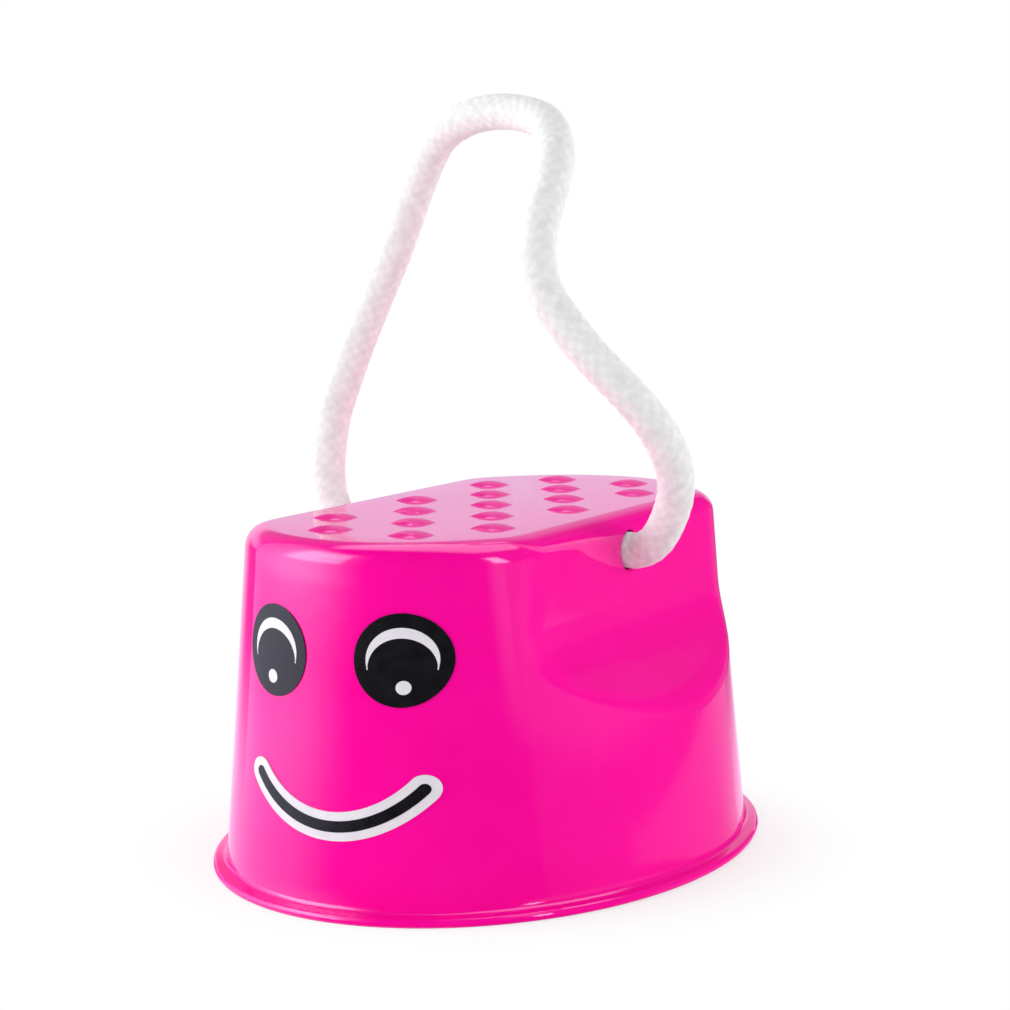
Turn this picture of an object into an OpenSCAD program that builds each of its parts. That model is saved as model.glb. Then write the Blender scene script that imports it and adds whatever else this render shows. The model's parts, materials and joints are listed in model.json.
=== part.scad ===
// Bucket stilt: an upturned oval cup to stand on, held by a rope loop that comes out of its two flat sides.
// Millimetres. Z is up. Y runs along the foot, with the toe and the smiley at -Y. X runs across the foot.
// The origin is on the ground, in the middle of the rim.

/* [Cup] */
// Length of the rim, along the foot
rim_length = 148; // [140:1:158]
// Width of the rim, across the foot
rim_width = 115; // [108:1:124]
// How far the flange of the rim stands out from the wall
flange_width = 3; // [2:0.5:6]
// Thickness of the flange of the rim
flange_thickness = 2; // [1.6:0.2:3]
// Height of the foot platform above the ground
cup_height = 76; // [70:1:90]
// Length of the oval wall at the level of the platform
shoulder_length = 137.6; // [132:0.2:142]
// Width of the oval wall at the level of the platform, before its sides are cut flat
shoulder_width = 91.8; // [88:0.2:96]
// Thickness of the moulded wall
wall_thickness = 2.5; // [2:0.1:3]
// Thickness of the platform
platform_thickness = 3; // [2.5:0.1:3.6]
// Radius of the rounded edge round the platform
edge_radius = 5; // [4:0.5:6]

/* [Flat sides] */
// Width of the platform across its two flat sides, before its edge is rounded
platform_width = 68.8; // [66:0.2:73]
// Lean of each flat side, in degrees from upright
side_draft = 3; // [1:0.5:4]
// Height above the ground of the fold at the foot of each flat side
fold_height = 49.4; // [47:0.2:52]
// Slope of the ledge below the fold, in degrees below level
ledge_slope = 42; // [36:1:48]

/* [Bumps] */
// Distance between neighbouring gripping bumps
bump_pitch = 19.5; // [18:0.1:21]
// Width of a gripping bump
bump_width = 9.8; // [7:0.2:11]
// Height of a gripping bump
bump_height = 1.2; // [0.8:0.1:2]

/* [Ribs] */
// Depth of the ribs below the platform
rib_depth = 8; // [5:1:10]
// Thickness of a rib
rib_thickness = 2; // [1.6:0.2:2.4]
// Distance from the middle of the platform to each cross rib
rib_spacing = 27; // [25:1:34]

/* [Rope] */
// Diameter of the rope
rope_diameter = 8; // [6.5:0.5:8.5]
// How much wider than the rope its holes are
hole_clearance = 0.6; // [0.4:0.1:1.2]
// Depth of the rope holes below the platform
hole_drop = 8; // [8:0.5:11]
// Height of the top of the rope loop above the rope holes
loop_rise = 95.5; // [85:0.5:140]

/* [Smiley] */
// How far the smiley sits to the right of the middle of the front
face_offset = 1.8; // [-3:0.2:3]
// Width of an eye
eye_width = 17.8; // [15:0.2:20]
// Height of an eye
eye_height = 18.8; // [16:0.2:21]
// Distance between the middles of the eyes
eye_spacing = 28.8; // [26:0.2:32]
// Height of the middle of the eyes above the ground
eye_level = 53.2; // [50:0.2:55]
// Height of the middle of the smile above the ground
mouth_level = 19.1; // [17:0.1:24]
// Radius of the smile
mouth_radius = 25.3; // [22:0.1:32]
// Width between the ends of the smile
mouth_width = 37.6; // [33:0.2:44]
// Thickness of the dark line of the smile
mouth_line = 2.3; // [1.6:0.1:3]
// Width of the pale border all round the dark line
mouth_border = 1.8; // [1:0.1:2.4]

/* [Hidden] */
$fn = 48;

// Colours
pink = [0.98, 0.1, 0.6];
rope_white = [0.93, 0.93, 0.92];
print_black = [0.03, 0.03, 0.03];
print_white = [0.95, 0.94, 0.96];

// Cup
outline_count = 64;
lip = 0.6;
corner_blend = 3.2;
fold_blend = 6;
inner_round = edge_radius - wall_thickness;
ceiling = cup_height - platform_thickness;
ledge_drop = ((shoulder_width - platform_width) / 2 + fold_blend / 2 + corner_blend) * tan(ledge_slope);
wall_low = flange_thickness + 2 * lip;
ledge_low = fold_height - ledge_drop;
ledge_high = fold_height + fold_blend / 2;
low_steps = 4;
ledge_steps = 11;
high_steps = 2;
round_steps = 5;
inner_steps = 3;
bump_sink = 0.5;
bump_sphere = (pow(bump_width / 2, 2) + pow(bump_height, 2)) / (2 * bump_height);
row_pitch = bump_pitch * sin(60);
rib_end_share = 0.6;
rib_root_share = 0.3;

// Rope holes
hole_height = cup_height - hole_drop;
hole_diameter = rope_diameter + hole_clearance;
side_outer = platform_width / 2 + tan(side_draft) * hole_drop;
side_middle = side_outer - wall_thickness / 2;
side_inner = side_outer - wall_thickness;

// Rope loop, from the middle of the left wall to the middle of the right wall.
// X from the middle, Y, and Z above the rope holes.
loop_sides = 10;
route_end = 33.5;
route_top = 95.5;
loop_route = [
    [-33.5, 0, 0], [-37, 0, 0], [-41.5, 1.5, 2.5], [-46, 4.5, 8], [-48.5, 8, 15.5], [-49.5, 12, 25],
    [-48, 15, 34], [-45, 17.5, 44], [-41, 19.5, 54.5], [-36, 20, 65.5], [-31, 19, 76], [-25.5, 17, 85],
    [-19.5, 14, 91], [-11, 11, 94.5], [-2, 8.5, 95.5], [7, 5, 94.5], [14.5, 0.5, 92], [19.5, -5, 86.5],
    [22, -11.5, 79.5], [22.5, -17, 72], [23.5, -21, 64.5], [26, -23, 57], [30.5, -23, 50.5], [36.5, -21.5, 43],
    [42.5, -18.5, 36], [47, -14.5, 29], [49, -10, 21.5], [48.5, -6.5, 14.5], [45.5, -3.5, 8], [41.5, -1.5, 2.5],
    [37, 0, 0], [33.5, 0, 0]];

// Knots: an overhand knot behind each hole, flat against the wall, with its tail towards the middle
knot_sides = 8;
knot_thin_share = 0.9;
knot_ring_share = 1.1;
knot_sway_share = 0.5;
knot_depth_share = 0.53;
knot_drop_share = 0.9;
knot_width = rope_diameter * knot_thin_share;
knot_ring = rope_diameter * knot_ring_share;
knot_sway = rope_diameter * knot_sway_share;
knot_depth = rope_diameter * knot_depth_share;
lead_shares = [
    [0, 0, 0], [-0.22, 0, 0], [-0.4, -0.1, 0], [-0.53, -0.28, -0.03], [-0.59, -0.5, -0.11], [-0.6, -0.71, -0.27]];
tail_shares = [
    [-0.06, -0.02, 0.3], [-0.18, -0.03, 0.5], [-0.4, -0.04, 0.66], [-0.7, -0.06, 0.74], [-1.1, -0.08, 0.74],
    [-1.5, -0.1, 0.68]];
knot_gap = 0.6;
knot_start = 20;
knot_stop = 335;
knot_steps = 46;
knot_x = side_inner - knot_gap - knot_depth - knot_width / 2;
knot_z = hole_height - knot_ring - knot_sway * knot_drop_share;

// Stickers
film_gap = 0.05;
film_thickness = 0.3;
print_thickness = 0.2;
print_low = film_gap + film_thickness + film_gap;
film_rows = 3;
disc_columns = 16;
disc_start = 5;
arc_columns = 22;
crescent_radius = 6.3;
crescent_drop = 0.8;
crescent_width = 2.1;
crescent_sweep = 200;
crescent_tip_share = 0.1;
smile_tip_share = 0.998;
dot_size = 2.8;
dot_drop = 5.4;
dot_out = 0.5;

// Height of the fold for a skin that lies t inside the outer skin
function fold_at(t) = fold_height - t * (1 - sin(ledge_slope)) / cos(ledge_slope);

// The lesser of two lengths and the positive part of a length, each eased over the length k
function soft_min(a, b, k) = min(a, b) - pow(max(k - abs(a - b), 0), 2) / (4 * k);
function soft_positive(a, k) = max(a, 0) + pow(max(k - abs(a), 0), 2) / (4 * k);

// Half width and half length of the oval wall at a height
function oval_x(z) = let(foot = rim_width / 2 - flange_width)
    foot + (shoulder_width / 2 - foot) * z / cup_height;
function oval_y(z) = let(foot = rim_length / 2 - flange_width)
    foot + (shoulder_length / 2 - foot) * z / cup_height;

// Half width across the flat sides and the ledges below them
function side_x(z, t) = platform_width / 2 + tan(side_draft) * (cup_height - z) - t
    + soft_positive(fold_at(t) - z, fold_blend) / tan(ledge_slope);

// Distance from the middle to the skin that lies t inside the outer skin
function reach(turn, z, t) =
    let(a = oval_x(z) - t, b = oval_y(z) - t)
    let(oval = 1 / sqrt(pow(cos(turn) / a, 2) + pow(sin(turn) / b, 2)))
    let(across = abs(cos(turn)))
    across * oval < side_x(z, t) / 2 ? oval : soft_min(oval, side_x(z, t) / across, corner_blend);

function outline(z, t) = [for (i = [0 : outline_count - 1])
    let(turn = 360 * i / outline_count, r = reach(turn, z, t))
    [r * cos(turn), r * sin(turn), z]];

// Heights of the wall between the rim and a top height
function wall_levels(top) = concat(
    [for (k = [0 : low_steps - 1]) wall_low + (ledge_low - wall_low) * k / low_steps],
    [for (k = [0 : ledge_steps]) ledge_low + (ledge_high - ledge_low) * k / ledge_steps],
    [for (k = [1 : high_steps - 1]) ledge_high + (top - ledge_high) * k / high_steps]);

function turned(list) = [for (k = [len(list) - 1 : -1 : 0]) list[k]];

// Height and inset of each ring of the shell, from the ceiling inside, round the rim, to the platform outside
inner_profile = concat(
    [for (k = [0 : inner_steps]) let(turn = 90 - 90 * k / inner_steps)
        [ceiling - inner_round + inner_round * sin(turn), wall_thickness + inner_round * (1 - cos(turn))]],
    [for (z = turned(wall_levels(ceiling - inner_round))) [z, wall_thickness]],
    [[0, wall_thickness]]);
flange_profile = [
    [0, lip - flange_width],
    [lip, -flange_width],
    [flange_thickness - lip, -flange_width],
    [flange_thickness, lip - flange_width],
    [flange_thickness, -lip],
    [flange_thickness + lip, 0]];
outer_profile = concat(
    [for (z = wall_levels(cup_height - edge_radius)) [z, 0]],
    [for (k = [0 : round_steps]) let(turn = 90 * k / round_steps)
        [cup_height - edge_radius + edge_radius * sin(turn), edge_radius * (1 - cos(turn))]]);
cup_profile = concat(inner_profile, flange_profile, outer_profile);

// Triangles of a skin over stacked rings, closed by a face at each end that starts at a quarter of the way round
function skin_faces(rings, count) = concat(
    [[for (i = [0 : count - 1]) (i + floor(count / 4)) % count]],
    [for (k = [0 : rings - 2], i = [0 : count - 1])
        [k * count + i, (k + 1) * count + i, (k + 1) * count + (i + 1) % count]],
    [for (k = [0 : rings - 2], i = [0 : count - 1])
        [k * count + i, (k + 1) * count + (i + 1) % count, k * count + (i + 1) % count]],
    [[for (i = [count : -1 : 1]) (rings - 1) * count + (i + floor(count / 4)) % count]]);

module shell() {
    polyhedron(
        points = [for (p = cup_profile, q = outline(p[0], p[1])) q],
        faces = skin_faces(len(cup_profile), outline_count),
        convexity = 6);
}

module bump() {
    rotate_extrude()
        intersection() {
            translate([0, bump_height - bump_sphere])
                circle(r = bump_sphere);
            translate([0, -bump_sink])
                square([bump_width / 2, bump_height + bump_sink]);
        }
}

module bumps() {
    for (row = [-3 : 3])
        for (k = [0 : row % 2 == 0 ? 2 : 1])
            translate([(k - (row % 2 == 0 ? 1 : 1 / 2)) * bump_pitch, row * row_pitch, cup_height])
                bump();
}

module ribs() {
    rib_height = rib_depth + platform_thickness * rib_root_share;
    long_rib = shoulder_length - 2 * wall_thickness * rib_end_share;
    cross_rib = platform_width - 2 * wall_thickness * rib_end_share;
    translate([-rib_thickness / 2, -long_rib / 2, ceiling - rib_depth])
        cube([rib_thickness, long_rib, rib_height]);
    for (side = [-1, 1])
        translate([-cross_rib / 2, side * rib_spacing - rib_thickness / 2, ceiling - rib_depth])
            cube([cross_rib, rib_thickness, rib_height]);
}

module cup() {
    color(pink)
        difference() {
            union() {
                shell();
                bumps();
                ribs();
            }
            for (side = [-1, 1])
                translate([side * side_middle, 0, hole_height])
                    rotate([0, 90, 0])
                        cylinder(d = hole_diameter, h = 3 * wall_thickness, center = true);
        }
}

// Sweep of a round section along a path
function unit(v) = v / norm(v);
function directions(path) = [for (i = [0 : len(path) - 1])
    unit(path[min(i + 1, len(path) - 1)] - path[max(i - 1, 0)])];
function carried(normal, way) = unit(normal - (normal * way) * way);
function normals(ways, i, last) = i == len(ways) ? [] :
    let(next = carried(last, ways[i])) concat([next], normals(ways, i + 1, next));
function tube_ring(middle, way, normal, width, sides) =
    let(other = cross(way, normal))
    [for (i = [0 : sides - 1]) let(turn = 360 * i / sides)
        middle + width / 2 * (cos(turn) * normal + sin(turn) * other)];

module tube(path, widths, sides) {
    ways = directions(path);
    ups = normals(ways, 0, [0, 1, 0]);
    polyhedron(
        points = [for (i = [0 : len(path) - 1], p = tube_ring(path[i], ways[i], ups[i], widths[i], sides)) p],
        faces = skin_faces(len(path), sides),
        convexity = 8);
}

// Halfway point of a smooth curve through four points, between the second and the third
function between(a, b, c, d) = (9 * (b + c) - a - d) / 16;

// The loop's route, with its ends in the walls and its top at the wanted height
loop_points = [for (p = loop_route)
    [p[0] * side_middle / route_end, p[1], hole_height + p[2] * loop_rise / route_top]];
loop_path = concat(
    [loop_points[0]],
    [for (i = [1 : len(loop_points) - 3], half = [0, 1])
        half == 0 ? loop_points[i] :
        between(loop_points[i - 1], loop_points[i], loop_points[i + 1], loop_points[i + 2])],
    [loop_points[len(loop_points) - 2], loop_points[len(loop_points) - 1]]);

module rope_loop() {
    color(rope_white)
        tube(loop_path, [for (p = loop_path) rope_diameter], loop_sides);
}

// Middle line of the knot behind the right hole
function knot_point(turn) =
    let(r = knot_ring + knot_sway * cos(3 * turn))
    [knot_x + knot_depth * sin(3 * turn), r * cos(2 * turn + 90), knot_z + r * sin(2 * turn + 90)];
knot_last = knot_point(knot_stop);
knot_mouth = [side_inner, 0, hole_height];
knot_path = concat(
    [[side_middle, 0, hole_height]],
    [for (share = lead_shares) knot_mouth + rope_diameter * share],
    [for (k = [0 : knot_steps]) knot_point(knot_start + (knot_stop - knot_start) * k / knot_steps)],
    [for (share = tail_shares) knot_last + rope_diameter * share]);
knot_widths = [for (i = [0 : len(knot_path) - 1]) i < 3 ? rope_diameter : knot_width];

// Least gap between strands of the knot that are more than two diameters apart along the rope
function steps_of(path) = [for (i = [1 : len(path) - 1]) norm(path[i] - path[i - 1])];
function sum_to(list, i, total) = i == len(list) ? [total] : concat([total], sum_to(list, i + 1, total + list[i]));
knot_lengths = sum_to(steps_of(knot_path), 0, 0);
knot_clear = min([for (i = [0 : len(knot_path) - 1], j = [0 : len(knot_path) - 1])
    if (knot_lengths[j] - knot_lengths[i] > 2 * rope_diameter) norm(knot_path[j] - knot_path[i])]) - knot_width;
echo("least gap in the knot", knot_clear);
echo("length of the loop", sum_to(steps_of(loop_path), 0, 0)[len(loop_path) - 1]);
echo("length of a knotted end", knot_lengths[len(knot_path) - 1]);

module right_knot() {
    color(rope_white)
        tube(knot_path, knot_widths, knot_sides);
}

module left_knot() {
    color(rope_white)
        rotate([0, 0, 180])
            tube(knot_path, knot_widths, knot_sides);
}

// Point on the front wall, lifted off it, for a point of the front view
function front_point(x, z, lift) =
    let(a = oval_x(z), b = oval_y(z))
    let(y = -b * sqrt(1 - pow(x / a, 2)))
    let(out = unit([x / pow(a, 2), y / pow(b, 2)]))
    [x + lift * out[0], y + lift * out[1], z];

// Thin film on the front wall over a grid of front view points, columns from left to right, each from low to high
module film(grid, low, high, shade) {
    columns = len(grid);
    rows = len(grid[0]);
    count = columns * rows;
    function h(i, j) = i * rows + j;
    function l(i, j) = count + i * rows + j;
    quads = concat(
        [for (i = [0 : columns - 2], j = [0 : rows - 2]) [h(i, j), h(i, j + 1), h(i + 1, j + 1), h(i + 1, j)]],
        [for (i = [0 : columns - 2], j = [0 : rows - 2]) [l(i, j), l(i + 1, j), l(i + 1, j + 1), l(i, j + 1)]],
        [for (i = [0 : columns - 2]) [h(i, 0), h(i + 1, 0), l(i + 1, 0), l(i, 0)]],
        [for (i = [0 : columns - 2]) let(j = rows - 1) [h(i + 1, j), h(i, j), l(i, j), l(i + 1, j)]],
        [for (j = [0 : rows - 2]) [h(0, j + 1), h(0, j), l(0, j), l(0, j + 1)]],
        [for (j = [0 : rows - 2]) let(i = columns - 1) [h(i, j), h(i, j + 1), l(i, j + 1), l(i, j)]]);
    color(shade)
        polyhedron(
            points = concat(
                [for (column = grid, p = column) front_point(p[0], p[1], high)],
                [for (column = grid, p = column) front_point(p[0], p[1], low)]),
            faces = [for (q = quads, k = [0, 1]) k == 0 ? [q[0], q[1], q[2]] : [q[0], q[2], q[3]]],
            convexity = 4);
}

// Grid of an upright oval disc
function disc_grid(x, z, width, height) = [for (i = [0 : disc_columns])
    let(turn = 180 - disc_start - (180 - 2 * disc_start) * i / disc_columns)
    [for (j = [0 : film_rows])
        [x + width / 2 * cos(turn), z + height / 2 * sin(turn) * (2 * j / film_rows - 1)]]];

// Grid of a crescent with its tips down
function crescent_grid(x, z) = [for (i = [0 : arc_columns])
    let(share = i / arc_columns, turn = 90 + crescent_sweep * (1 / 2 - share))
    let(half = crescent_width / 2 * max(sin(180 * share), crescent_tip_share))
    [for (j = [0 : film_rows]) let(r = crescent_radius + half * (2 * j / film_rows - 1))
        [x + r * cos(turn), z + r * sin(turn)]]];

// Grid of a smile with round ends, of a given line width
function smile_grid(width) =
    let(half_turn = asin(mouth_width / 2 / mouth_radius), half = width / 2)
    let(end_turn = half / mouth_radius * 180 / PI)
    [for (i = [0 : arc_columns])
        let(swing = -cos(180 * i / arc_columns) * smile_tip_share)
        let(turn = swing * (half_turn + end_turn))
        let(past = max(abs(turn) - half_turn, 0) / end_turn)
        let(spread = half * sqrt(1 - pow(past, 2)))
        [for (j = [0 : film_rows]) let(r = mouth_radius - spread * (2 * j / film_rows - 1))
            [face_offset + r * sin(turn), mouth_level + mouth_radius - r * cos(turn)]]];

// Place of the middle of an eye across the front, for side -1 on the left and 1 on the right
function eye_x(side) = face_offset + side * eye_spacing / 2;

module eye_sticker(side) {
    film(
        disc_grid(eye_x(side), eye_level, eye_width, eye_height),
        film_gap, film_gap + film_thickness, print_black);
}

module eye_print(side) {
    film(
        crescent_grid(eye_x(side), eye_level - crescent_drop),
        print_low, print_low + print_thickness, print_white);
    film(
        disc_grid(eye_x(side) + side * dot_out, eye_level - dot_drop, dot_size, dot_size),
        print_low, print_low + print_thickness, print_white);
}

module left_eye_sticker() {
    eye_sticker(-1);
}

module left_eye_print() {
    eye_print(-1);
}

module right_eye_sticker() {
    eye_sticker(1);
}

module right_eye_print() {
    eye_print(1);
}

module mouth_sticker() {
    film(smile_grid(mouth_line + 2 * mouth_border), film_gap, film_gap + film_thickness, print_white);
}

module mouth_print() {
    film(smile_grid(mouth_line), print_low, print_low + print_thickness, print_black);
}

cup();
rope_loop();
left_knot();
right_knot();
left_eye_sticker();
left_eye_print();
right_eye_sticker();
right_eye_print();
mouth_sticker();
mouth_print();
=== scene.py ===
# %% [markdown]
# # A bucket stilt with a rope handle
# One of a pair of stilts for a small child: an upturned oval bucket in pink plastic to stand on, a white braided
# rope to hold, and a plain smiley of stickers on the front. The measured model gives every size and place. Here each
# of its pieces gets the surface and the finish that the real one shows. Z is up, and the smiley looks towards -Y.

# %% Load the measured model
import json
import math
import bmesh
import bpy
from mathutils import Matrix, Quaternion, Vector

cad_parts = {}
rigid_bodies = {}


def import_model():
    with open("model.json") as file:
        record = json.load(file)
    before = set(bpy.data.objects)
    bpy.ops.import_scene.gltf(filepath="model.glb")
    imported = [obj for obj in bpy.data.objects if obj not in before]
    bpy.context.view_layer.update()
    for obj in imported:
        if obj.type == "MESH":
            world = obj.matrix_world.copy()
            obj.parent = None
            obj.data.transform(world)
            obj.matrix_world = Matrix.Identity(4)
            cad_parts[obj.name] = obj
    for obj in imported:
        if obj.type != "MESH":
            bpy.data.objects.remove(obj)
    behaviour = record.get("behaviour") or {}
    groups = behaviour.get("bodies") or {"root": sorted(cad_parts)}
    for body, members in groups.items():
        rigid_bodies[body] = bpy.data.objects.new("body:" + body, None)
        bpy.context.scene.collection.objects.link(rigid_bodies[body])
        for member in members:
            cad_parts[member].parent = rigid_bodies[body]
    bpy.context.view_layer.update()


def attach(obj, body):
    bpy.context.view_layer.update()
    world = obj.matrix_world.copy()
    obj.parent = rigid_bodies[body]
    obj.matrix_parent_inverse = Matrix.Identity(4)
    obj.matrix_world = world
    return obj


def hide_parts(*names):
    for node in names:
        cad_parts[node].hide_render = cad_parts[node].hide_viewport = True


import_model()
scene = bpy.context.scene
scene.view_settings.view_transform = "Standard"
MM = 0.001

# %% [markdown]
# ## The camera
# The photograph was taken from a little above the platform, round to the right of the smiley, with a lens that shows
# little distortion. The camera looks at a point just above the platform, so that the rope loop fits in the frame.

# %% Camera at the photograph's place
camera_data = bpy.data.cameras.new("camera")
camera_data.lens = 80.4
camera_data.sensor_width = 36
camera_data.clip_start = 0.01
camera = bpy.data.objects.new("camera", camera_data)
scene.collection.objects.link(camera)
camera_turn, camera_rise, camera_distance = math.radians(29.03), math.radians(7.12), 0.5012
camera_roll = math.radians(-0.43)
towards_camera = Vector((
    math.sin(camera_turn) * math.cos(camera_rise),
    -math.cos(camera_turn) * math.cos(camera_rise),
    math.sin(camera_rise)))
camera.location = Vector((0.0056, -0.0036, 0.0766)) + towards_camera * camera_distance
level_view = (-towards_camera).to_track_quat("-Z", "Y")
camera.rotation_euler = (Quaternion(towards_camera, camera_roll) @ level_view).to_euler()
scene.camera = camera
print("camera at", [round(c, 3) for c in camera.location])

# %% [markdown]
# ## The rope's way
# The rope is one length of soft braided cord. It comes out of a hole high in one flat side, stands up in an uneven
# arch, and goes back in at the other side. A curve with a round bevel could follow it, but a braid has to lie on the
# surface, so the rope is a tube whose rings are set along a smooth line through the points of its route.

# %% Where the rope goes through the cup
CUP_HEIGHT, WALL, HOLE_DROP = 76.0, 2.5, 8
SIDE_TOP, DRAFT = 34.4, math.tan(math.radians(3))
hole_height = (CUP_HEIGHT - HOLE_DROP) * MM
side_outer = (SIDE_TOP + DRAFT * HOLE_DROP) * MM
side_middle = side_outer - WALL / 2 * MM
side_inner = side_outer - WALL * MM
print("rope holes", round(2 * side_outer, 4), "m apart at", round(hole_height, 4), "m")

# %% Smooth line through the rope's route
loop_route = [
    (-33.5, 0, 0), (-37, 0, 0), (-41.5, 1.5, 2.5), (-46, 4.5, 8), (-48.5, 8, 15.5), (-49.5, 12, 25),
    (-48, 15, 34), (-45, 17.5, 44), (-41, 19.5, 54.5), (-36, 20, 65.5), (-31, 19, 76), (-25.5, 17, 85),
    (-19.5, 14, 91), (-11, 11, 94.5), (-2, 8.5, 95.5), (7, 5, 94.5), (14.5, 0.5, 92), (19.5, -5, 86.5),
    (22, -11.5, 79.5), (22.5, -17, 72), (23.5, -21, 64.5), (26, -23, 57), (30.5, -23, 50.5), (36.5, -21.5, 43),
    (42.5, -18.5, 36), (47, -14.5, 29), (49, -10, 21.5), (48.5, -6.5, 14.5), (45.5, -3.5, 8), (41.5, -1.5, 2.5),
    (37, 0, 0), (33.5, 0, 0)]
route_end = loop_route[-1][0]
loop_points = [Vector((x * side_middle / route_end, y * MM, hole_height + z * MM)) for x, y, z in loop_route]


def line_through(points, steps):
    line = []
    for i in range(len(points) - 1):
        a, b = points[max(i - 1, 0)], points[i]
        c, d = points[i + 1], points[min(i + 2, len(points) - 1)]
        for k in range(steps):
            t = k / steps
            line.append(0.5 * (2 * b + (c - a) * t + (2 * a - 5 * b + 4 * c - d) * t * t
                               + (3 * b - a - 3 * c + d) * t * t * t))
    return line + [points[-1]]


def spaced(line, gap):
    total = sum((b - a).length for a, b in zip(line, line[1:]))
    count = max(2, round(total / gap))
    even, done, at = [line[0].copy()], 0.0, 1
    for k in range(1, count):
        want = total * k / count
        while done + (line[at] - line[at - 1]).length < want:
            done += (line[at] - line[at - 1]).length
            at += 1
        step = line[at] - line[at - 1]
        even.append(line[at - 1] + step * ((want - done) / step.length))
    return even + [line[-1].copy()], total


LOOP_RING_GAP = 0.34 * MM
loop_line, loop_length = spaced(line_through(loop_points, 24), LOOP_RING_GAP)
print("rope loop", len(loop_line), "rings over", round(loop_length, 4), "m")

# %% [markdown]
# ## The braid
# A round braid is two sets of strands that wind opposite ways and pass over and under each other. On a tube that is
# opened flat the two sets are slanting bands. Each ring point takes the height of whichever strand is on top there,
# so the weave is real relief that shows at the rope's edge too.

# %% Tube with a braided skin
STRANDS, STRAND_STEP = 8, 3.1 * MM
STRAND_ROUND, STRAND_WEAVE = 0.62, 0.38


def braid_height(turn_share, along):
    first = STRANDS * turn_share + along / STRAND_STEP
    second = STRANDS * turn_share - along / STRAND_STEP
    i, j = math.floor(first), math.floor(second)
    round_first = math.sqrt(max(0.0, 1 - (2 * (first - i) - 1) ** 2))
    round_second = math.sqrt(max(0.0, 1 - (2 * (second - j) - 1) ** 2))
    over = math.cos(math.pi * (second - 0.5 + i))
    under = -math.cos(math.pi * (first - 0.5 + j))
    return max(
        STRAND_ROUND * round_first + STRAND_WEAVE * over,
        STRAND_ROUND * round_second + STRAND_WEAVE * under)


def braided_tube(name, line, radius_at, around, relief):
    ways = []
    for i in range(len(line)):
        ways.append((line[min(i + 1, len(line) - 1)] - line[max(i - 1, 0)]).normalized())
    points, faces, along, normal = [], [], 0.0, Vector((0, 1, 0))
    lengths, lifts = [], []
    for i, (middle, way) in enumerate(zip(line, ways)):
        along += (middle - line[max(i - 1, 0)]).length
        lengths.append(along)
        normal = (normal - way * normal.dot(way)).normalized()
        other = way.cross(normal)
        for k in range(around):
            share = k / around
            lift = max(0.0, braid_height(share, along))
            r = radius_at(i, along) - relief * (1 - lift)
            turn = 2 * math.pi * share
            points.append(middle + r * (math.cos(turn) * normal + math.sin(turn) * other))
            lifts.append(lift)
    for i in range(len(line) - 1):
        for k in range(around):
            n = (k + 1) % around
            faces.append((i * around + k, i * around + n, (i + 1) * around + n, (i + 1) * around + k))
    faces.append(tuple(reversed(range(around))))
    faces.append(tuple((len(line) - 1) * around + k for k in range(around)))
    mesh = bpy.data.meshes.new(name)
    mesh.from_pydata(points, [], faces)
    uv = mesh.uv_layers.new(name="along_rope")
    for face in mesh.polygons[:-2]:
        i, k = divmod(face.index, around)
        corners = ((k, i), (k + 1, i), (k + 1, i + 1), (k, i + 1))
        for loop, (column, row) in zip(face.loop_indices, corners):
            uv.data[loop].uv = (column / around, lengths[row] / STRAND_STEP)
    mesh.attributes.new("strand_lift", "FLOAT", "POINT").data.foreach_set("value", lifts)
    mesh.shade_smooth()
    piece = bpy.data.objects.new(name, mesh)
    scene.collection.objects.link(piece)
    print(name, len(points), "points")
    return piece


# %% [markdown]
# ## The rope loop
# A soft braided rope is never quite even, so the loop's thickness drifts by about a tenth of a millimetre along its
# length. Random numbers could do this, but two slow waves of different lengths show no repeat either and stay smooth.

# %% The rope loop
ROPE_RADIUS = 3.97
LOOP_AROUND, LOOP_RELIEF = 72, 0.26 * MM


def loop_radius(i, along):
    return (ROPE_RADIUS + 0.06 * math.sin(along / (17 * MM)) + 0.05 * math.sin(along / (6.3 * MM) + 1)) * MM


rope = braided_tube("rope", loop_line, loop_radius, LOOP_AROUND, LOOP_RELIEF)
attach(rope, "rope")
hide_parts("rope_loop")

# %% [markdown]
# ## The knots inside the cup
# Behind each hole the rope is tied in an overhand knot that can't slip back through. An overhand knot is a trefoil
# that has been cut open at one lobe: it goes twice round its middle while it weaves in and out three times. One end
# comes from the hole, and the other is the tail. Pulled tight, the rope in the knot is a little thinner.

# %% Line of a knotted rope end
rope_width = 8 * MM
knot_width = 7.2 * MM
knot_ring, knot_sway, knot_depth = 1.1 * rope_width, 0.5 * rope_width, 0.53 * rope_width
knot_off_wall = 0.6 * MM
KNOT_START, KNOT_SWEEP, KNOT_STEPS = 20, 315, 46
knot_middle = Vector((
    side_inner - knot_off_wall - knot_depth - knot_width / 2, 0, hole_height - knot_ring - 0.9 * knot_sway))


def knot_point(degrees):
    turn = math.radians(degrees)
    r = knot_ring + knot_sway * math.cos(3 * turn)
    swing = 2 * turn + math.pi / 2
    return knot_middle + Vector((knot_depth * math.sin(3 * turn), r * math.cos(swing), r * math.sin(swing)))


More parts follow.
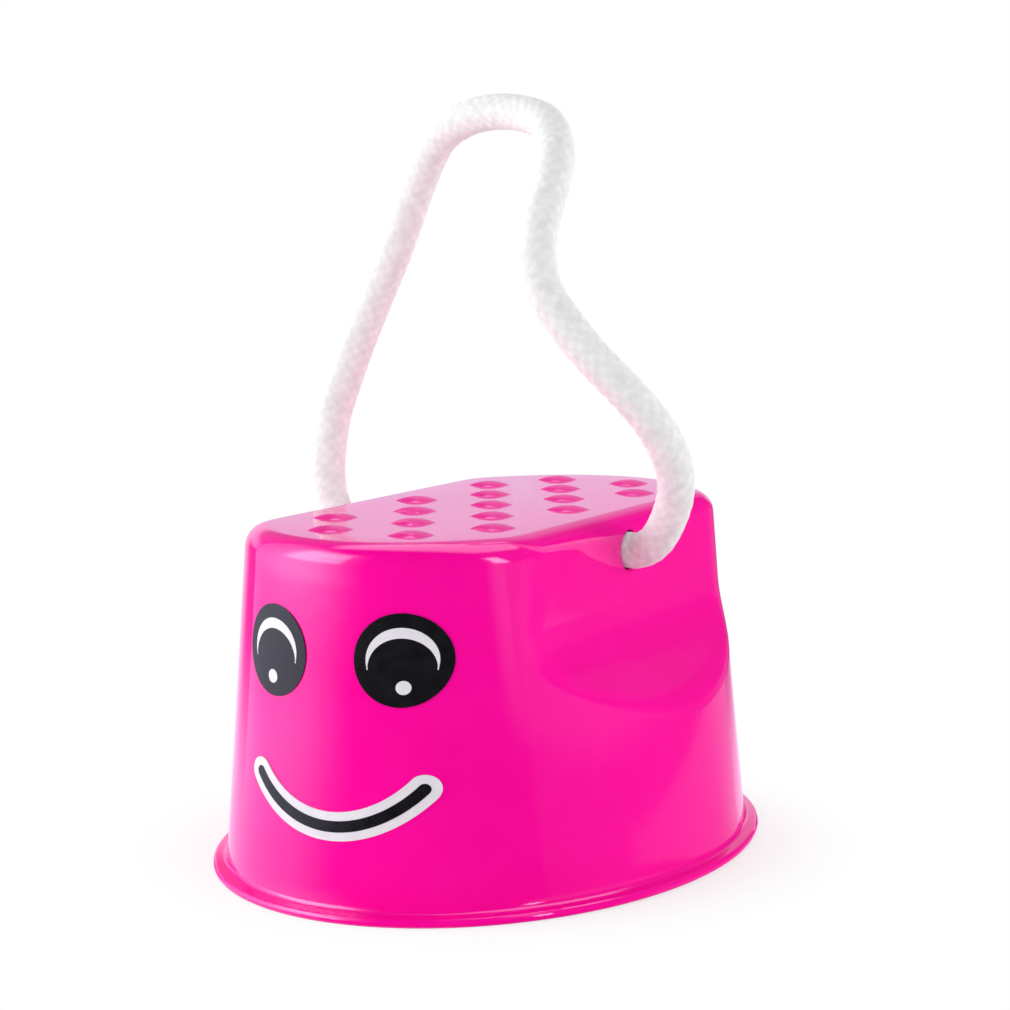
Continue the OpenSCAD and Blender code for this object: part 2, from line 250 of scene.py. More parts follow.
lead_shares = [
    (0, 0, 0), (-0.22, 0, 0), (-0.4, -0.1, 0), (-0.53, -0.28, -0.03), (-0.59, -0.5, -0.11), (-0.6, -0.71, -0.27)]
tail_shares = [
    (-0.06, -0.02, 0.3), (-0.18, -0.03, 0.5), (-0.4, -0.04, 0.66), (-0.7, -0.06, 0.74), (-1.1, -0.08, 0.74),
    (-1.5, -0.1, 0.68)]
KNOT_RING_GAP = 0.36 * MM
knot_mouth = Vector((side_inner, 0, hole_height))
knot_points = [Vector((side_middle, 0, hole_height))]
knot_points += [knot_mouth + rope_width * Vector(s) for s in lead_shares]
knot_points += [knot_point(KNOT_START + KNOT_SWEEP * k / KNOT_STEPS) for k in range(KNOT_STEPS + 1)]
knot_points += [knot_points[-1] + rope_width * Vector(s) for s in tail_shares]
knot_line, knot_length = spaced(line_through(knot_points, 10), KNOT_RING_GAP)
print("knotted end", round(knot_length, 4), "m")


# %% The two knots
KNOT_AROUND, KNOT_RELIEF = 64, 0.4 * MM


def knot_radius(i, along):
    tight = min(1.0, max(0.0, (along - 3 * MM) / (5 * MM)))
    sealed = min(1.0, (knot_length - along) / (1.2 * MM))
    return (ROPE_RADIUS - 0.4 * tight - 0.5 * (1 - max(sealed, 0.0)) ** 2) * MM


def knot_piece(name, side):
    line = [Vector((side * p.x, side * p.y, p.z)) for p in knot_line]
    piece = braided_tube(name, line, knot_radius, KNOT_AROUND, KNOT_RELIEF)
    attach(piece, "stilt")
    return piece


right_knot = knot_piece("rope_knot_right", 1)
left_knot = knot_piece("rope_knot_left", -1)
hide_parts("right_knot")
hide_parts("left_knot")

# %% [markdown]
# ## The shape of the cup
# The cup is an oval bucket, upside down. Two flats are cut into its sides so that the foot can stand between the
# ropes, and below each flat a sloping ledge runs out to the oval wall. A ring that is extruded level by level can
# follow all of this when each new ring is drawn to the cup's outline at its own height. The outline is the lesser of
# the oval and the flat, eased where they meet, so the corners come out round.

# %% Outline of the cup at a height
RIM_X, RIM_Y, FLANGE = 57.5, 74.0, 3.0
SHOULDER_X, SHOULDER_Y = 45.9, 68.8
FOLD, FOLD_EASE, CORNER_EASE = 49.4, 6.0, 3.2
LEDGE = math.radians(42)


def oval_at(z):
    share = z / CUP_HEIGHT
    foot_x, foot_y = RIM_X - FLANGE, RIM_Y - FLANGE
    return foot_x + (SHOULDER_X - foot_x) * share, foot_y + (SHOULDER_Y - foot_y) * share


def side_at(z, inset):
    below = FOLD - inset * (1 - math.sin(LEDGE)) / math.cos(LEDGE) - z
    ledge = max(below, 0) + max(FOLD_EASE - abs(below), 0) ** 2 / (4 * FOLD_EASE)
    return SIDE_TOP + DRAFT * (CUP_HEIGHT - z) - inset + ledge / math.tan(LEDGE)


def reach(turn, z, inset):
    a, b = oval_at(z)
    oval = 1 / math.hypot(math.cos(turn) / (a - inset), math.sin(turn) / (b - inset))
    flat = side_at(z, inset) / max(abs(math.cos(turn)), 1e-6)
    return min(oval, flat) - max(CORNER_EASE - abs(oval - flat), 0) ** 2 / (4 * CORNER_EASE)


print("outline at mid height", round(reach(0, 60, 0), 1), "by", round(reach(math.pi / 2, 60, 0), 1), "mm")

# %% [markdown]
# ## The levels
# Each level is a height and an inset from the outer wall. The list starts at the ceiling inside, goes down the inner
# wall, round the rim and its flange, up the outer wall, and over the rounded edge to the platform. The levels lie
# close together where the wall bends most, at the ledges, so that the fold is smooth.

# %% Levels from the ceiling inside, round the rim, to the platform outside
def arc(count, z, inset, radius, start, stop):
    turns = [math.radians(start + (stop - start) * k / count) for k in range(count + 1)]
    return [(z + radius * math.sin(t), inset - radius * math.cos(t)) for t in turns]


def steps(low, high, count):
    return [low + (high - low) * k / count for k in range(count)]


PLATFORM, EDGE = 3.0, 5.0
LEDGE_LOW, LEDGE_HIGH, WALL_TOP = 25, 55, 69.5
CEILING_ROUND, LIP_ROUND, FLANGE_ROUND = 2.5, 0.5, 0.95
FLANGE_TOP, FLANGE_FILLET = 2.05, 1.3
wall_heights = steps(3.6, LEDGE_LOW, 6) + steps(LEDGE_LOW, LEDGE_HIGH, 60) + steps(LEDGE_HIGH, WALL_TOP, 6)
inner_heights = steps(0.9, LEDGE_LOW, 5) + steps(LEDGE_LOW, LEDGE_HIGH, 30) + steps(LEDGE_HIGH, WALL_TOP, 4)
levels = arc(6, CUP_HEIGHT - PLATFORM - CEILING_ROUND, WALL + CEILING_ROUND, CEILING_ROUND, 90, 0)
levels += [(z, WALL) for z in reversed(inner_heights)]
levels += arc(3, LIP_ROUND, WALL - LIP_ROUND, -LIP_ROUND, 0, 90)
levels += [(0, 0.6), (0, -1.2)]
levels += arc(8, FLANGE_ROUND, FLANGE_ROUND - FLANGE, FLANGE_ROUND, -90, 70)
levels += [
    (FLANGE_TOP + FLANGE_FILLET * (1 - math.cos(t)), -FLANGE_FILLET * (1 - math.sin(t)))
    for t in steps(0.06, 1.52, 7)]
levels += [(z, 0) for z in wall_heights]
levels += arc(14, CUP_HEIGHT - EDGE, EDGE, EDGE, 0, 90)
print(len(levels), "levels")

# %% [markdown]
# ## Selecting a piece
# Blender's operators act on whatever is selected, so every step starts by clearing the selection. These three helpers
# leave the selection empty, on one piece, or on all of a piece in edit mode.

# %% Selecting a piece
def start_clean():
    if bpy.context.object and bpy.context.object.mode != "OBJECT":
        bpy.ops.object.mode_set(mode="OBJECT")
    bpy.ops.object.select_all(action="DESELECT")


def only(piece):
    start_clean()
    piece.select_set(True)
    bpy.context.view_layer.objects.active = piece


def edit(piece):
    only(piece)
    bpy.ops.object.mode_set(mode="EDIT")
    bpy.ops.mesh.select_all(action="SELECT")


# %% [markdown]
# ## The cup's skin
# One circle is enough to start with. It is extruded once for every level, and each new ring is drawn out to the cup's
# outline there. This gives an even mesh that runs round the cup, which a cut from solid blocks would not.

# %% Cup skin, ring by ring
RING_POINTS = 480
start_clean()
bpy.ops.mesh.primitive_circle_add(vertices=RING_POINTS, radius=50 * MM, fill_type="NGON")
cup = bpy.context.object
cup.name = "cup_body"
edit(cup)


def draw_ring(piece, z, inset):
    mesh = bmesh.from_edit_mesh(piece.data)
    for v in mesh.verts:
        if v.select:
            turn = math.atan2(v.co.y, v.co.x)
            r = reach(turn, z, inset) * MM
            v.co = (r * math.cos(turn), r * math.sin(turn), z * MM)
    bmesh.update_edit_mesh(piece.data)


draw_ring(cup, *levels[0])
for z, inset in levels[1:]:
    bpy.ops.mesh.extrude_region_move()
    draw_ring(cup, z, inset)
bpy.ops.mesh.select_all(action="SELECT")
bpy.ops.mesh.normals_make_consistent(inside=False)
start_clean()
print("cup skin", len(cup.data.polygons), "faces")

# %% [markdown]
# ## Bumps, ribs and rope holes
# Seventeen low round bumps on the platform keep the shoe from slipping. They are one turned dome, copied in staggered
# rows. Under the platform three ribs stiffen it, which a moulded bucket like this needs. The rope holes go through the
# flats and have rounded edges, so the rope won't chafe. They are cut with a spool shape. Domes and spools are turned
# from a profile, as on a lathe, and then joined to the cup or cut from it.

# %% Joining and cutting pieces
def join(pieces):
    only(pieces[0])
    for piece in pieces[1:]:
        piece.select_set(True)
    bpy.ops.object.join()
    return bpy.context.object


def boolean(piece, tool, operation):
    only(piece)
    modifier = piece.modifiers.new("shape", "BOOLEAN")
    modifier.operation = operation
    modifier.object = tool
    modifier.solver = "MANIFOLD"
    bpy.ops.object.modifier_apply(modifier=modifier.name)
    only(tool)
    bpy.ops.object.delete()
    print(operation.lower(), "leaves", len(piece.data.polygons), "faces")


# %% Turning a profile about an axis
def turned(name, middle, axis, profile, vertices):
    start_clean()
    facing = axis.to_track_quat("Z", "Y").to_euler()
    first = middle + axis * profile[0][0] * MM
    bpy.ops.mesh.primitive_circle_add(
        vertices=vertices, radius=profile[0][1] * MM, fill_type="NGON", location=first, rotation=facing)
    piece = bpy.context.object
    piece.name = name
    edit(piece)
    for (low, wide), (high, narrow) in zip(profile, profile[1:]):
        bpy.ops.mesh.extrude_region_move(TRANSFORM_OT_translate={"value": axis * (high - low) * MM})
        bpy.ops.transform.resize(value=(narrow / wide,) * 3, center_override=middle + axis * high * MM)
    bpy.ops.mesh.select_all(action="SELECT")
    bpy.ops.mesh.normals_make_consistent(inside=False)
    start_clean()
    return piece


# %% Gripping bumps
BUMP_WIDTH, BUMP_HEIGHT = 9.8, 1.0
bump_pitch = 19.5
bump_sphere = ((BUMP_WIDTH / 2) ** 2 + BUMP_HEIGHT ** 2) / (2 * BUMP_HEIGHT)
bump_steps = (1, 0.9, 0.78, 0.64, 0.5, 0.36, 0.22, 0.08)
bump_turns = [math.asin(BUMP_WIDTH / 2 / bump_sphere) * share for share in bump_steps]
bump_foot = [(-0.5, BUMP_WIDTH / 2 + 0.3), (0.01, BUMP_WIDTH / 2 + 0.25)]
bump_profile = bump_foot + [
    (BUMP_HEIGHT - bump_sphere * (1 - math.cos(t)) + 0.03, bump_sphere * math.sin(t)) for t in bump_turns]
platform_top = CUP_HEIGHT * MM
first_bump = turned("bump", Vector((0, 0, platform_top)), Vector((0, 0, 1)), bump_profile, 40)
bumps = []
for row in range(-3, 4):
    shares = (-1, 0, 1) if row % 2 == 0 else (-0.5, 0.5)
    for share in shares:
        only(first_bump)
        bpy.ops.object.duplicate()
        place = (share * bump_pitch * MM, row * bump_pitch * math.sin(math.pi / 3) * MM, 0)
        bpy.ops.transform.translate(value=place)
        bumps.append(bpy.context.object)
only(first_bump)
bpy.ops.object.delete()
print(len(bumps), "bumps")
boolean(cup, join(bumps), "UNION")


# %% Ribs under the platform
def rib(middle, size):
    start_clean()
    bpy.ops.mesh.primitive_cube_add(size=1, location=Vector(middle) * MM)
    piece = bpy.context.object
    edit(piece)
    bpy.ops.transform.resize(value=Vector(size) * MM, center_override=Vector(middle) * MM)
    bpy.ops.mesh.bevel(offset=0.4 * MM, segments=3, affect="EDGES")
    start_clean()
    return piece


RIB_DEPTH, RIB_OVERLAP = 8, 0.8
rib_low, rib_high = CUP_HEIGHT - PLATFORM - RIB_DEPTH, CUP_HEIGHT - PLATFORM + RIB_OVERLAP
rib_middle, rib_tall = (rib_low + rib_high) / 2, rib_high - rib_low
RIB_WIDTH, RIB_PLACE, LONG_RIB, CROSS_RIB = 2, 27, 133, 65.8
boolean(cup, rib((0, 0, rib_middle), (RIB_WIDTH, LONG_RIB, rib_tall)), "UNION")
for rib_y in (RIB_PLACE, -RIB_PLACE):
    boolean(cup, rib((0, rib_y, rib_middle), (CROSS_RIB, RIB_WIDTH, rib_tall)), "UNION")

# %% Rope holes
spool_profile = [
    (-2.1, 5.3), (-1.35, 4.75), (-1.0, 4.42), (-0.55, 4.3), (0.45, 4.3), (0.95, 4.42), (1.3, 4.75), (1.85, 5.4)]
for side in (-1, 1):
    middle = Vector((side * side_middle, 0, hole_height))
    spool = turned("spool", middle, Vector((side, 0, 0)), spool_profile, 72)
    boolean(cup, spool, "DIFFERENCE")
only(cup)
bpy.ops.object.shade_smooth_by_angle(angle=math.radians(15))
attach(cup, "stilt")
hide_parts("cup")
print("cup", len(cup.data.vertices), "points")

# %% [markdown]
# ## The smiley
# The face is three stickers: two black ovals, each with a white arc and a dot as the light in the eye, and a smile
# drawn in black on a white border. A sticker could be painted on as a texture, but a real one has an edge that catches
# the light. So each is modelled flat, and then every point is put on the oval wall of the cup, with a thin film's
# thickness.

# %% Flat shapes for stickers
def flat_disc(name, x, z, width, height):
    start_clean()
    bpy.ops.mesh.primitive_circle_add(vertices=96, radius=1, fill_type="NOTHING", rotation=(math.pi / 2, 0, 0))
    piece = bpy.context.object
    piece.name = name
    bpy.ops.object.transform_apply(location=False, rotation=True, scale=False)
    edit(piece)
    bpy.ops.transform.resize(value=(width / 2 * MM, 1, height / 2 * MM), center_override=(0, 0, 0))
    for k in range(5, 0, -1):
        bpy.ops.mesh.extrude_region_move()
        bpy.ops.transform.resize(value=((k - 0.8) / (k + 0.2),) * 3, center_override=(0, 0, 0))
    bpy.ops.mesh.edge_face_add()
    bpy.ops.mesh.select_all(action="SELECT")
    bpy.ops.transform.translate(value=(x * MM, 0, z * MM))
    start_clean()
    return piece


def flat_band(name, place):
    start_clean()
    bpy.ops.mesh.primitive_grid_add(x_subdivisions=96, y_subdivisions=8, size=2, rotation=(math.pi / 2, 0, 0))
    piece = bpy.context.object
    piece.name = name
    bpy.ops.object.transform_apply(location=False, rotation=True, scale=False)
    for v in piece.data.vertices:
        x, z = place(v.co.x, v.co.z)
        v.co = (x * MM, 0, z * MM)
    return piece


# %% Pressing a flat shape onto the wall
def pressed_on(piece, lift, thickness):
    for v in piece.data.vertices:
        x, z = v.co.x / MM, v.co.z / MM
        a, b = oval_at(z)
        y = -b * math.sqrt(1 - (x / a) ** 2)
        outward = Vector((x / a ** 2, y / b ** 2, 0)).normalized()
        v.co = (Vector((x, y, z)) + outward * lift) * MM
    edit(piece)
    bpy.ops.mesh.normals_make_consistent(inside=False)
    start_clean()
    if piece.data.polygons[0].normal.y > 0:
        edit(piece)
        bpy.ops.mesh.flip_normals()
    only(piece)
    solid = piece.modifiers.new("film", "SOLIDIFY")
    solid.thickness = thickness * MM
    solid.offset = 1
    bpy.ops.object.modifier_apply(modifier=solid.name)
    bpy.ops.object.shade_smooth_by_angle(angle=math.radians(30))
    print(piece.name, len(piece.data.polygons), "faces")
    return piece


# %% Eyes
face_x, eye_x, eye_z = 1.8, 14.4, 53.2
EYE_WIDTH, EYE_HEIGHT, DOT_WIDTH, DOT_OUT, DOT_DOWN = 17.8, 18.8, 2.8, 0.5, 5.4
ARC_RADIUS, ARC_HALF, ARC_SPAN, ARC_DOWN = 6.3, 1.05, 100, 0.8
FILM_LIFT, FILM, PRINT_LIFT, PRINT = 0.03, 0.25, 0.27, 0.09


def eye_arc(side):
    def place(u, w):
        turn = math.radians(90 - ARC_SPAN * u)
        r = ARC_RADIUS + ARC_HALF * max(math.cos(math.pi / 2 * u), 0.1) * w
        return face_x + side * eye_x + r * math.cos(turn), eye_z - ARC_DOWN + r * math.sin(turn)
    return place


for side, label in ((-1, "left"), (1, "right")):
    film = flat_disc(label + "_eye_film", face_x + side * eye_x, eye_z, EYE_WIDTH, EYE_HEIGHT)
    pressed_on(film, FILM_LIFT, FILM)
    white_arc = pressed_on(flat_band(label + "_eye_light", eye_arc(side)), PRINT_LIFT, PRINT)
    dot_x = face_x + side * (eye_x + DOT_OUT)
    dot = flat_disc(label + "_eye_dot", dot_x, eye_z - DOT_DOWN, DOT_WIDTH, DOT_WIDTH)
    light = join([white_arc, pressed_on(dot, PRINT_LIFT, PRINT)])
    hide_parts(label + "_eye_sticker")
    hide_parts(label + "_eye_print")
    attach(film, "stilt")
    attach(light, "stilt")

# %% Mouth
mouth_radius, mouth_low, mouth_half = 25.3, 19.1, 18.8
mouth_line_width, mouth_border = 2.3, 1.8
mouth_turn = math.asin(mouth_half / mouth_radius)


def smile(width):
    half = width / 2
    end = half / mouth_radius

    def place(u, w):
        turn = math.sin(math.pi / 2 * u) * 0.999 * (mouth_turn + end)
        past = max(abs(turn) - mouth_turn, 0) / end
        r = mouth_radius - half * math.sqrt(1 - past ** 2) * w
        return face_x + r * math.sin(turn), mouth_low + mouth_radius - r * math.cos(turn)
    return place


mouth_film = flat_band("mouth_film", smile(mouth_line_width + 2 * mouth_border))
pressed_on(mouth_film, FILM_LIFT, FILM)
mouth_line = pressed_on(flat_band("mouth_line", smile(mouth_line_width)), PRINT_LIFT, PRINT)
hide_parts("mouth_sticker")
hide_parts("mouth_print")
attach(mouth_film, "stilt")
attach(mouth_line, "stilt")

# %% [markdown]
# ## Materials
# Every finish is a Principled shader with a little noise in its colour, its roughness and its surface, because no
# real surface is quite even. The small helpers below add one kind of node each, so that a finish reads as a short
# recipe.

# %% Node helpers
def new_material(name):
    material = bpy.data.materials.new(name)
    material.use_nodes = True
    return material, material.node_tree, material.node_tree.nodes["Principled BSDF"]


def noise(tree, source, scale, detail):
    node = tree.nodes.new("ShaderNodeTexNoise")
    node.inputs["Scale"].default_value = scale
    node.inputs["Detail"].default_value = detail
    tree.links.new(source, node.inputs["Vector"])
    return node.outputs["Fac"]


def spread(tree, value, low, high):
    node = tree.nodes.new("ShaderNodeMapRange")
    node.inputs["From Min"].default_value = 0.3
    node.inputs["From Max"].default_value = 0.7
    node.inputs["To Min"].default_value = low
    node.inputs["To Max"].default_value = high
    tree.links.new(value, node.inputs["Value"])
    return node.outputs["Result"]


def blend_colours(tree, share, first, second):
    node = tree.nodes.new("ShaderNodeMix")
    node.data_type = "RGBA"
    node.inputs["A"].default_value = first
    node.inputs["B"].default_value = second
    tree.links.new(share, node.inputs["Factor"])
    return node.outputs["Result"]


def bump(tree, shader, height, distance, strength):
    node = tree.nodes.new("ShaderNodeBump")
    node.inputs["Distance"].default_value = distance
    node.inputs["Strength"].default_value = strength
    tree.links.new(height, node.inputs["Height"])
    tree.links.new(node.outputs["Normal"], shader.inputs["Normal"])


def object_place(tree):
    return tree.nodes.new("ShaderNodeTexCoord").outputs["Object"]


def dress(piece, material):
    piece.data.materials.clear()
    piece.data.materials.append(material)
    print(piece.name, "is dressed in", material.name)


# %% [markdown]
# ## Pink plastic
# The cup is a dense, glossy plastic that was dyed through. Most of its look is what it mirrors, so its roughness is
# low, and a very shallow noise gives the slight orange-peel of the mould. Object coordinates fix the pattern to the
# piece.

# %% Pink plastic
pink, tree, shader = new_material("pink_plastic")
place = object_place(tree)
colour = blend_colours(
    tree, spread(tree, noise(tree, place, 40, 2), 0, 1), (0.95, 0.002, 0.315, 1), (0.98, 0.003, 0.34, 1))
tree.links.new(colour, shader.inputs["Base Color"])
tree.links.new(spread(tree, noise(tree, place, 160, 3), 0.03, 0.065), shader.inputs["Roughness"])
bump(tree, shader, noise(tree, place, 260, 2), 0.05 * MM, 0.25)
dress(cup, pink)

# %% [markdown]
# ## Rope fibre
# The rope is soft white fibre, so it scatters almost all light, with a touch of sheen. The valleys between the strands
# get painted shade, a darker grey, and the strands are flecked at random. The height of each strand was kept as an
# attribute of the mesh, so the painted shade follows the braid, and the UV map lets fine threads run along the rope.

# %% Rope fibre
fibre, tree, shader = new_material("white_rope")
along = tree.nodes.new("ShaderNodeUVMap")
along.uv_map = "along_rope"
stretch = tree.nodes.new("ShaderNodeMapping")
stretch.inputs["Scale"].default_value = (260, 9, 1)
tree.links.new(along.outputs["UV"], stretch.inputs["Vector"])
threads = noise(tree, stretch.outputs["Vector"], 1, 3)
fuzz = noise(tree, object_place(tree), 2600, 3)
lift = tree.nodes.new("ShaderNodeAttribute")
lift.attribute_name = "strand_lift"
# Painted shade and flecks: where a strand lies low, in the valleys, the colour goes to the darker grey, and noise adds
# random flecks
shaded_valleys_and_flecks = tree.nodes.new("ShaderNodeMath")
shaded_valleys_and_flecks.operation = "MULTIPLY"
tree.links.new(lift.outputs["Fac"], shaded_valleys_and_flecks.inputs[0])
tree.links.new(spread(tree, noise(tree, object_place(tree), 480, 3), 0, 1), shaded_valleys_and_flecks.inputs[1])
colour = blend_colours(tree, shaded_valleys_and_flecks.outputs["Value"], (0.72, 0.725, 0.725, 1), (0.88, 0.885, 0.885, 1))
tree.links.new(colour, shader.inputs["Base Color"])
tree.links.new(spread(tree, fuzz, 0.75, 0.95), shader.inputs["Roughness"])
shader.inputs["Specular IOR Level"].default_value = 0.15
shader.inputs["Sheen Weight"].default_value = 0.25
shader.inputs["Sheen Roughness"].default_value = 0.6
bump(tree, shader, threads, 0.12 * MM, 0.6)
for piece in (rope, left_knot, right_knot):
    dress(piece, fibre)

# %% [markdown]
# ## Sticker prints
# The stickers are printed vinyl film, black and a cool white, less glossy than the plastic. Both are one recipe with
# other colours, so one function makes them.

# %% Sticker prints
def print_material(name, first, second, low, high, shine):
    material, tree, shader = new_material(name)
    place = object_place(tree)
    colour = blend_colours(tree, spread(tree, noise(tree, place, 300, 2), 0, 1), first, second)
    tree.links.new(colour, shader.inputs["Base Color"])
    tree.links.new(spread(tree, noise(tree, place, 500, 3), low, high), shader.inputs["Roughness"])
    shader.inputs["Specular IOR Level"].default_value = shine
    bump(tree, shader, noise(tree, place, 350, 2), 0.03 * MM, 0.2)
    return material


black = print_material("black_print", (0.006, 0.006, 0.008, 1), (0.011, 0.01, 0.012, 1), 0.25, 0.35, 0.3)
white = print_material("white_print", (0.72, 0.7, 0.76, 1), (0.78, 0.76, 0.81, 1), 0.3, 0.4, 0.5)
for piece in scene.objects:
    if piece.name.endswith(("_eye_film", "mouth_line")):
        dress(piece, black)
    if piece.name.endswith(("_eye_light", "mouth_film")):
        dress(piece, white)

# %% [markdown]
# ## The studio
# The photograph is a white-on-white product shot: large soft lights at the left and overhead, a narrow one at the
# right, a white backdrop that the platform mirrors, and a dim room behind the camera, which is why the front of the
# cup stays deep pink. Lamps light the pieces evenly. What the glossy plastic mirrors is drawn apart from them, as
# soft-edged white sheets in the world, because only so can each reflection be put where the photograph shows it.

# %% [markdown]
# ## The floor
# The stilt stands on white paper that shows no horizon. Near the rim the paper keeps a faint shadow. Further out it
# fades to plain white, for the camera alone, so that the paper still throws its light on the pieces.

# %% Floor
start_clean()
bpy.ops.mesh.primitive_plane_add(size=8, location=(0, 0, -0.0002))
floor = bpy.context.object
floor.name = "floor"
floor.visible_glossy = False

# %% Floor paper
paper, tree, shader = new_material("floor_paper")
shader.inputs["Base Color"].default_value = (0.93, 0.93, 0.93, 1)
shader.inputs["Roughness"].default_value = 0.9
shader.inputs["Specular IOR Level"].default_value = 0.1
white_far = tree.nodes.new("ShaderNodeEmission")
distance = tree.nodes.new("ShaderNodeVectorMath")
distance.operation = "LENGTH"
tree.links.new(object_place(tree), distance.inputs[0])
fade = tree.nodes.new("ShaderNodeMapRange")
fade.interpolation_type = "SMOOTHSTEP"
fade.inputs["From Min"].default_value = 0.05
fade.inputs["From Max"].default_value = 0.085
fade.inputs["To Min"].default_value = 0.6
tree.links.new(distance.outputs["Value"], fade.inputs["Value"])
seen = tree.nodes.new("ShaderNodeLightPath")
share = tree.nodes.new("ShaderNodeMath")
share.operation = "MULTIPLY"
tree.links.new(fade.outputs["Result"], share.inputs[0])
tree.links.new(seen.outputs["Is Camera Ray"], share.inputs[1])
mixed = tree.nodes.new("ShaderNodeMixShader")
tree.links.new(share.outputs["Value"], mixed.inputs["Fac"])
tree.links.new(shader.outputs["BSDF"], mixed.inputs[1])
tree.links.new(white_far.outputs["Emission"], mixed.inputs[2])
tree.links.new(mixed.outputs["Shader"], tree.nodes["Material Output"].inputs["Surface"])
dress(floor, paper)

# %% [markdown]
# ## The lamps
# Three large soft lamps stand low around the stilt, the strongest at the left, and a weak one hangs overhead. Low
# lamps light the walls and the rope more than the platform, so the platform throws less pink on the rope. None of them
# is seen in the plastic, because the world draws all that is mirrored.

# %% Lights
LAMP_AIM = Vector((0, 0, 0.06))


def soft_light(name, turn, rise, wide, tall, power):
    data = bpy.data.lights.new(name, "AREA")
    data.shape = "RECTANGLE"
    data.size = wide
    data.size_y = tall
    data.energy = power
    lamp = bpy.data.objects.new(name, data)
    turn, rise = math.radians(turn), math.radians(rise)
    out = Vector((math.sin(turn) * math.cos(rise), -math.cos(turn) * math.cos(rise), math.sin(rise)))
    lamp.location = LAMP_AIM + out
    lamp.rotation_euler = (-out).to_track_quat("-Z", "Y").to_euler()
    lamp.visible_glossy = False
    scene.collection.objects.link(lamp)
    print(name, "at", [round(c, 2) for c in lamp.location])


soft_light("left_softbox", -38, 14, 0.5, 0.5, 3)
soft_light("left_fill", -100, 10, 0.6, 0.6, 5.5)
soft_light("right_fill", 122, 10, 0.6, 0.6, 3.6)
soft_light("top_softbox", 180, 71, 0.8, 0.6, 0.4)

# %% [markdown]
# ## The world
# A ray that leaves the object has a direction, which is turned here into degrees round from the smiley and degrees of
# rise. With these two numbers soft-edged sheets can be placed in the world like paper in a studio. A sheet overhead is
# placed by how far the ray has gone in X and Y at a unit of height, so that it is square and not pinched to a point.

# %% Direction of a ray that leaves the object
world = bpy.data.worlds.new("studio")
scene.world = world
world.use_nodes = True
world.cycles.sampling_method = "NONE"
tree = world.node_tree
direction = tree.nodes.new("ShaderNodeTexCoord")
parts = tree.nodes.new("ShaderNodeSeparateXYZ")
tree.links.new(direction.outputs["Generated"], parts.inputs["Vector"])


def calculate(operation, first, second):
    node = tree.nodes.new("ShaderNodeMath")
    node.operation = operation
    for socket, value in zip(node.inputs, (first, second)):
        if isinstance(value, (int, float)):
            socket.default_value = value
        else:
            tree.links.new(value, socket)
    return node.outputs["Value"]


def ramp(value, start, stop, low, high):
    node = tree.nodes.new("ShaderNodeMapRange")
    node.interpolation_type = "SMOOTHSTEP"
    node.inputs["From Min"].default_value = start
    node.inputs["From Max"].default_value = stop
    node.inputs["To Min"].default_value = low
    node.inputs["To Max"].default_value = high
    tree.links.new(value, node.inputs["Value"])
    return node.outputs["Result"]


degree = math.pi / 180
forwards = calculate("MULTIPLY", parts.outputs["Y"], -1)
turn = calculate("DIVIDE", calculate("ARCTAN2", parts.outputs["X"], forwards), degree)
rise = calculate("DIVIDE", calculate("ARCSINE", parts.outputs["Z"], 0), degree)
upwards = calculate("MAXIMUM", parts.outputs["Z"], 0.05)
overhead_x = calculate("DIVIDE", parts.outputs["X"], upwards)
overhead_y = calculate("DIVIDE", parts.outputs["Y"], upwards)
print("directions ready")

# %% [markdown]
# ## The sheets
# In the photograph the left of the wall mirrors a broad bright sheet, the platform mirrors the backdrop, and the right
# flat mirrors a narrow strip and a dim room. Real cards could stand round the stilt, but they would also throw light
# and show in other places. A sheet here is a strength with four soft edges, and each edge is the pair of values
# between which the light comes up or dies away.

# %% White sheets that the plastic mirrors
def sheet(strength, left, right, low, high, across=turn, upright=rise):
    width = calculate("MULTIPLY", ramp(across, *left, 0, strength), ramp(across, *right, 1, 0))
    height = calculate("MULTIPLY", ramp(upright, *low, 0, 1), ramp(upright, *high, 1, 0))
    return calculate("MULTIPLY", width, height)


begin, beyond, below, above = (-190, -180), (180, 190), (-100, -90), (90, 100)
left_light = [
    sheet(0.7, (-110, -107), (-50, -8), (-13.5, -9.5), (40, 60)),
    sheet(0.45, (-95, -60), (-50, -8), (-13.5, -9.5), (40, 60)),
    sheet(2.4, (-112, -50), (-46, 4), (-8.5, -4), (46, 64)),
    sheet(4, (-82, -62), (-24, -14), (10, 22), (44, 60))]
back_light = [
    sheet(0.8, begin, (-112, -107), (2, 5.5), (10.5, 17)),
    sheet(0.25, begin, (-112, -107), (10.5, 17), above),
    sheet(0.3, (-178, -165), (-150, -140), (10.5, 17), (50, 55)),
    sheet(0.12, begin, (-112, -107), (-14, -8), (2, 5.5)),
    sheet(0.6, (-172, -160), (-132, -118), (-14, -8), (2, 5.5)),
    sheet(0.9, begin, (-60, -20), below, (-13, -8))]
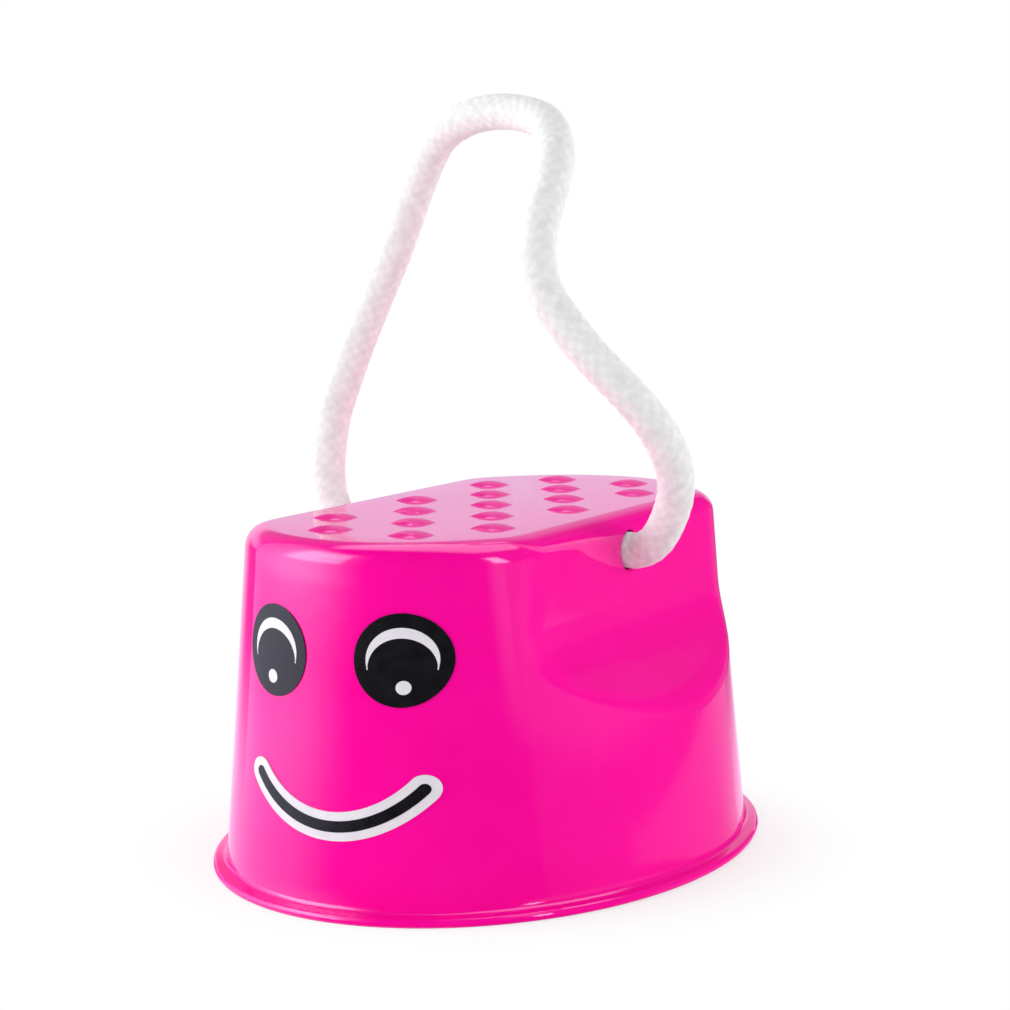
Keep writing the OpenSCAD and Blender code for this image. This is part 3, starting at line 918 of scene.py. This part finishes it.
right_light = [
    sheet(7.5, (73, 77), (80, 83), (9, 20), (32, 41)),
    sheet(0.4, (69, 75), (77, 80), (-6, -1), (22, 34)),
    sheet(0.25, (68, 80), (108, 150), (-5.6, -4.2), (8, 18)),
    sheet(0.045, (79, 81), beyond, (-14, -8), above),
    sheet(0.04, (79, 81), beyond, (-14, -8), (2, 10)),
    sheet(0.05, (79, 81), beyond, (23, 26), above),
    sheet(0.1, (156, 172), beyond, (-14, -8), (2, 6)),
    sheet(0.21, (112, 122), beyond, below, (-7.5, -6.8)),
    sheet(0.35, (158, 180), beyond, below, (-12.5, -8.5))]
top_light = [sheet(2.6, (-0.66, -0.46), (0.5, 0.7), (-0.15, 0.1), (0.66, 0.86), overhead_x, overhead_y)]
mirrored_sheets = left_light + back_light + right_light + top_light
sheets = mirrored_sheets[0]
for each in mirrored_sheets[1:]:
    sheets = calculate("ADD", each, sheets)
print(len(mirrored_sheets), "sheets to mirror")


# %% [markdown]
# ## The light from all sides
# Three kinds of ray ask the world for light, and each gets its own answer. Camera rays see plain white. Glossy rays
# see the sheets, which are a cool white. All others see an even room that is brighter at the horizon than overhead.

# %% World light
def background(strength, colour=(1, 1, 1, 1)):
    node = tree.nodes.new("ShaderNodeBackground")
    node.inputs["Color"].default_value = colour
    if isinstance(strength, (int, float)):
        node.inputs["Strength"].default_value = strength
    else:
        tree.links.new(strength, node.inputs["Strength"])
    return node.outputs["Background"]


def either(share, first, second):
    node = tree.nodes.new("ShaderNodeMixShader")
    tree.links.new(share, node.inputs["Fac"])
    tree.links.new(first, node.inputs[1])
    tree.links.new(second, node.inputs[2])
    return node.outputs["Shader"]


path = tree.nodes.new("ShaderNodeLightPath")
seen = calculate("MAXIMUM", path.outputs["Is Camera Ray"], path.outputs["Is Transmission Ray"])
HORIZON, OVERHEAD, SHEET_GAIN = 1.18, 0.54, 1.25
room = ramp(rise, 0, 60, HORIZON, OVERHEAD)
cool_white = background(calculate("MULTIPLY", sheets, SHEET_GAIN), (0.8, 0.8, 1, 1))
mirrored = either(path.outputs["Is Glossy Ray"], background(room), cool_white)
tree.links.new(either(seen, mirrored, background(1)), tree.nodes["World Output"].inputs["Surface"])
print("world ready")
